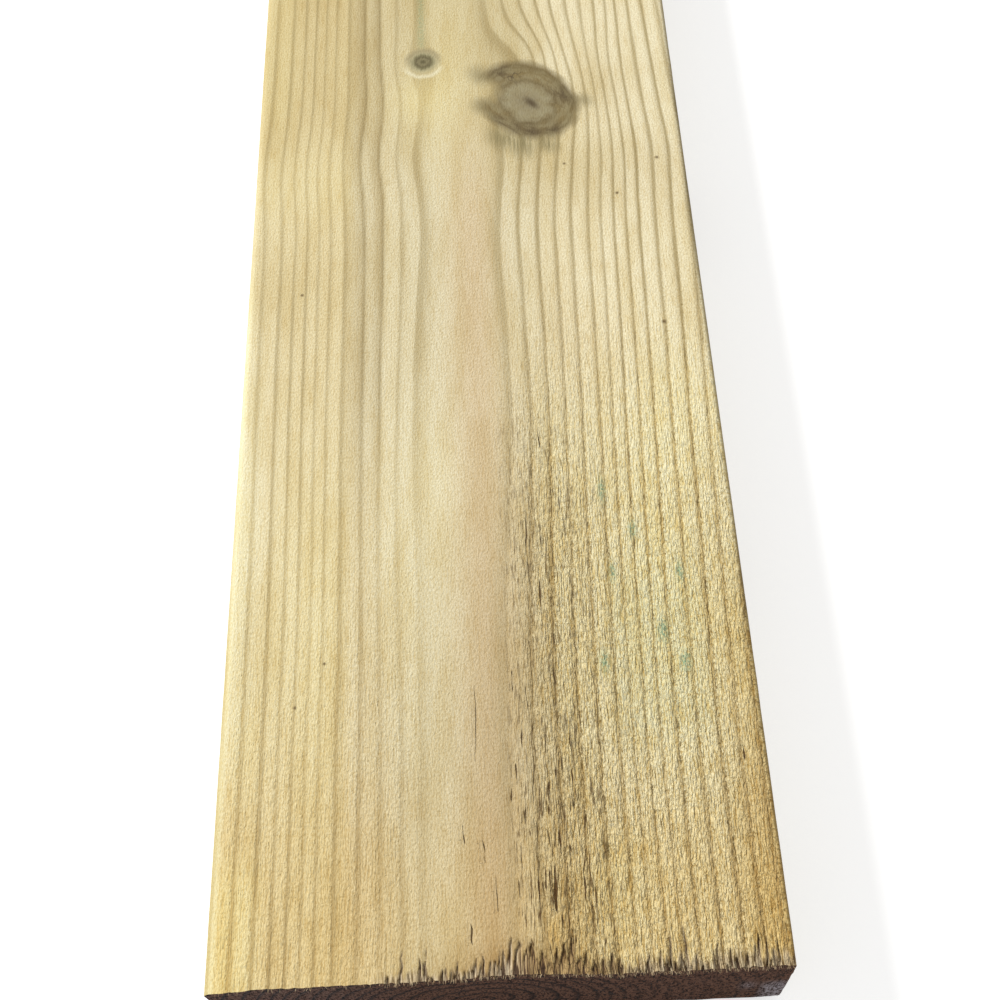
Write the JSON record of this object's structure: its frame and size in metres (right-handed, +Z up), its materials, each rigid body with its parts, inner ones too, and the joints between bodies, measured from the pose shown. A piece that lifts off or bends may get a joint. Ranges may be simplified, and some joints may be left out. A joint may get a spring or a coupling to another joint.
{
  "type": "decking board",
  "caption": "Flat planed softwood decking board with eased long edges and square saw-cut ends, laid face up across joists to make a deck floor.",
  "frame": {"origin": "on the floor, under the middle of the board", "axes": "+X across the width, +Y along the grain away from the pictured end, +Z up out of the face that is walked on"},
  "size_m": [0.14, 1.8, 0.038],
  "materials": {
    "treated_pine": "planed and pressure treated, with raised and torn grain towards the sawn end"
  },
  "bodies": {
    "root": {"decking_board": "treated_pine"}
  },
  "joints": []
}
